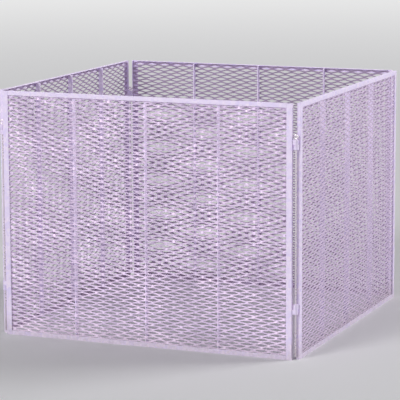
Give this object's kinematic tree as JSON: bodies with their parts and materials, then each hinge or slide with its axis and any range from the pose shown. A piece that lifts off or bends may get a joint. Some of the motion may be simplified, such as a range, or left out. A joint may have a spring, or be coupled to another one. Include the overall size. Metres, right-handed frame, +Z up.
{
  "type": "metal compost bin",
  "caption": "Open square compost bin of expanded-metal panels in angle frames, held at the corners by lift-out rods.",
  "frame": {"origin": "on the ground at the middle of the bin's footprint", "axes": "+Z is up, the front panel faces -Y, and +X is to the right of someone facing the front"},
  "size_m": [0.9, 0.9, 0.7],
  "materials": {
    "galvanised_steel": "dull galvanised",
    "galvanised_mesh": "dull galvanised expanded metal",
    "zinc_plated_rod": "satin zinc plated"
  },
  "bodies": {
    "back_panel": {"back_mesh": "galvanised_mesh", "back_top_rail": "galvanised_steel", "back_bottom_rail": "galvanised_steel", "back_left_stile": "galvanised_steel", "back_right_stile": "galvanised_steel", "back_stiffener_1": "galvanised_steel", "back_stiffener_2": "galvanised_steel", "back_stiffener_3": "galvanised_steel", "back_left_upper_knuckle": "galvanised_steel", "back_left_lower_knuckle": "galvanised_steel", "back_right_upper_knuckle": "galvanised_steel", "back_right_lower_knuckle": "galvanised_steel"},
    "left_panel": {"left_mesh": "galvanised_mesh", "left_top_rail": "galvanised_steel", "left_bottom_rail": "galvanised_steel", "left_left_stile": "galvanised_steel", "left_right_stile": "galvanised_steel", "left_stiffener_1": "galvanised_steel", "left_stiffener_2": "galvanised_steel", "left_stiffener_3": "galvanised_steel", "left_left_upper_knuckle": "galvanised_steel", "left_left_lower_knuckle": "galvanised_steel", "left_right_upper_knuckle": "galvanised_steel", "left_right_lower_knuckle": "galvanised_steel"},
    "right_panel": {"right_mesh": "galvanised_mesh", "right_top_rail": "galvanised_steel", "right_bottom_rail": "galvanised_steel", "right_left_stile": "galvanised_steel", "right_right_stile": "galvanised_steel", "right_stiffener_1": "galvanised_steel", "right_stiffener_2": "galvanised_steel", "right_stiffener_3": "galvanised_steel", "right_left_upper_knuckle": "galvanised_steel", "right_left_lower_knuckle": "galvanised_steel", "right_right_upper_knuckle": "galvanised_steel", "right_right_lower_knuckle": "galvanised_steel"},
    "front_panel": {"front_mesh": "galvanised_mesh", "front_top_rail": "galvanised_steel", "front_bottom_rail": "galvanised_steel", "front_left_stile": "galvanised_steel", "front_right_stile": "galvanised_steel", "front_stiffener_1": "galvanised_steel", "front_stiffener_2": "galvanised_steel", "front_stiffener_3": "galvanised_steel", "front_left_upper_knuckle": "galvanised_steel", "front_left_lower_knuckle": "galvanised_steel", "front_right_upper_knuckle": "galvanised_steel", "front_right_lower_knuckle": "galvanised_steel"},
    "front_left_rod": {"front_left_rod": "zinc_plated_rod"},
    "front_right_rod": {"front_right_rod": "zinc_plated_rod"},
    "back_right_rod": {"back_right_rod": "zinc_plated_rod"},
    "back_left_rod": {"back_left_rod": "zinc_plated_rod"}
  },
  "joints": [
    {"name": "left_fold", "type": "hinge", "parent": "back_panel", "child": "left_panel", "pos_m": [-0.44, 0.44, 0], "axis": [0, 0, 1], "range_deg": [-80, 80]},
    {"name": "right_fold", "type": "hinge", "parent": "back_panel", "child": "right_panel", "pos_m": [0.44, 0.44, 0], "axis": [0, 0, 1], "range_deg": [-80, 80]},
    {"name": "front_fold", "type": "hinge", "parent": "left_panel", "child": "front_panel", "pos_m": [-0.44, -0.44, 0], "axis": [0, 0, 1], "range_deg": [-80, 80]},
    {"name": "front_left_rod_lift", "type": "slide", "parent": "front_panel", "child": "front_left_rod", "axis": [0, 0, 1], "range_m": [0, 0.6]},
    {"name": "front_right_rod_lift", "type": "slide", "parent": "front_panel", "child": "front_right_rod", "axis": [0, 0, 1], "range_m": [0, 0.6]},
    {"name": "back_right_rod_lift", "type": "slide", "parent": "back_panel", "child": "back_right_rod", "axis": [0, 0, 1], "range_m": [0, 0.6]},
    {"name": "back_left_rod_lift", "type": "slide", "parent": "back_panel", "child": "back_left_rod", "axis": [0, 0, 1], "range_m": [0, 0.6]}
  ],
  "couplings": [
    {"joint": "right_fold", "follows": "left_fold", "ratio": 1},
    {"joint": "front_fold", "follows": "left_fold", "ratio": -1}
  ]
}
